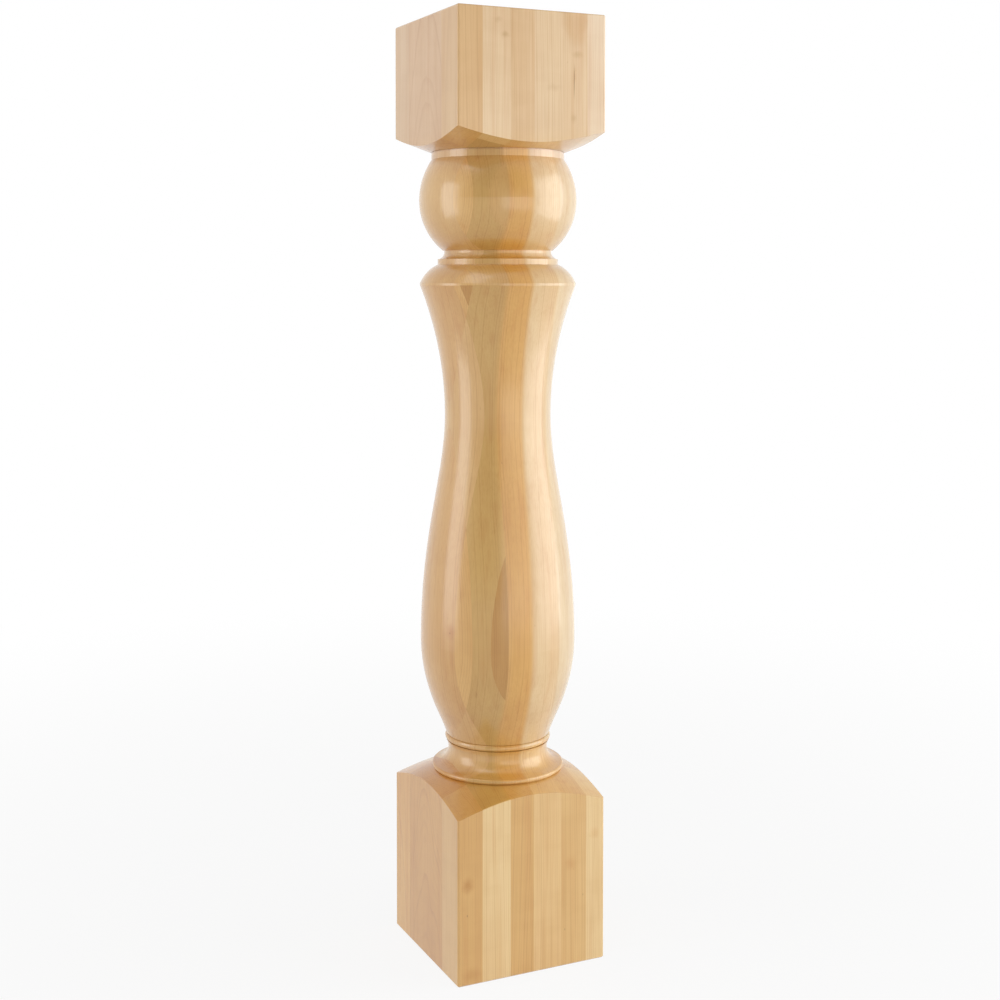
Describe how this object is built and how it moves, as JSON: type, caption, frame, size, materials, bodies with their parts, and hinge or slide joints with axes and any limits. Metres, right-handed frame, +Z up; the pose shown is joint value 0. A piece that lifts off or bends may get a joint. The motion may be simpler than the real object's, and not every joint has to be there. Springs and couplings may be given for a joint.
{
  "type": "turned wooden post",
  "caption": "Turned wooden post with a square foot and top, a long vase, a bead and ring and a ball, used upright as a leg or column under a counter or table",
  "frame": {"origin": "middle of the square underside, on the turning axis", "axes": "+Z up along the turning axis; X and Y square to the flat faces of the two blocks"},
  "size_m": [0.1524, 0.1524, 0.8953],
  "materials": {
    "lacquered_wood": "semi-gloss clear lacquer over light hardwood glued up from strips"
  },
  "bodies": {
    "root": {"post": "lacquered_wood"}
  },
  "joints": []
}
